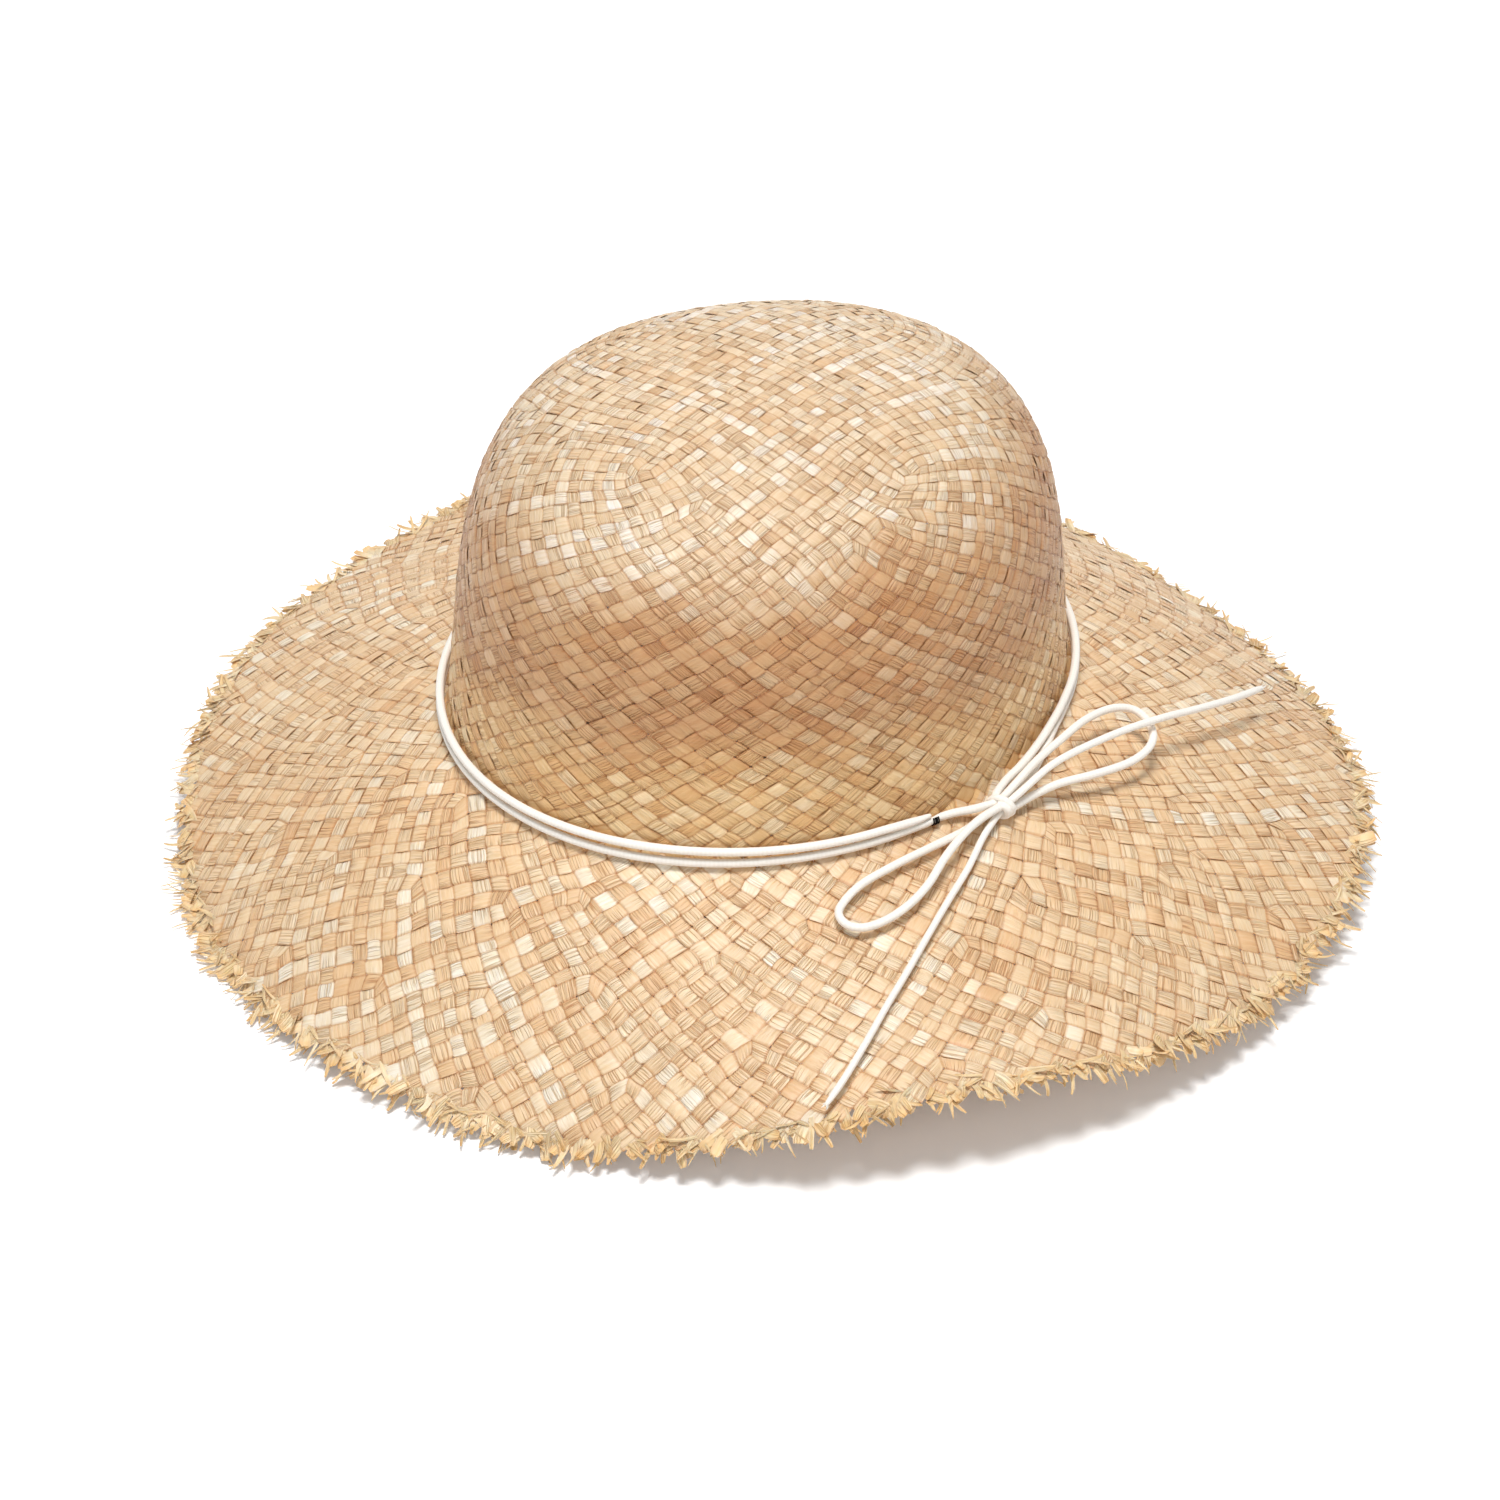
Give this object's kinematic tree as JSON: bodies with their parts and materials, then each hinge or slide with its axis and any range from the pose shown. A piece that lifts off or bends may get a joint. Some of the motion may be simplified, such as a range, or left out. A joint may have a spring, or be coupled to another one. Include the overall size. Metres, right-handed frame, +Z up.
{
  "type": "straw sun hat",
  "caption": "Wide-brimmed sun hat of bias-woven raffia with a rounded crown, wavy down-sloping brim, frayed edge and a thin cotton cord band tied in a bow.",
  "frame": {"origin": "on the ground, below the middle of the hat's bounding box, as the hat lies on the low points of its brim", "axes": "+Z up through the crown; -Y towards the side with the bow's hanging end, +X towards the side with the bow; the wearer's face looks out between -X and -Y, at azimuth 240 degrees"},
  "size_m": [0.371, 0.3692, 0.1545],
  "materials": {
    "crown_raffia": "woven natural raffia, satin",
    "brim_raffia": "woven natural raffia, satin",
    "frayed_raffia": "cut raffia ends, satin",
    "cotton_cord": "matt off-white cotton cord",
    "sweatband_ribbon": "matt ribbed ribbon",
    "pale_thread": "matt sewing thread",
    "black_thread": "matt black sewing thread"
  },
  "bodies": {
    "root": {"crown": "crown_raffia", "brim": "brim_raffia", "frayed_edge": "frayed_raffia", "sweatband": "sweatband_ribbon", "sweatband_stitching": "pale_thread", "band_lower": "cotton_cord", "band_upper": "cotton_cord", "cord_tack": "black_thread", "bow_knot": "cotton_cord", "bow_loop_right": "cotton_cord", "bow_loop_left": "cotton_cord", "bow_tail_back": "cotton_cord", "bow_tail_front": "cotton_cord"}
  },
  "joints": []
}
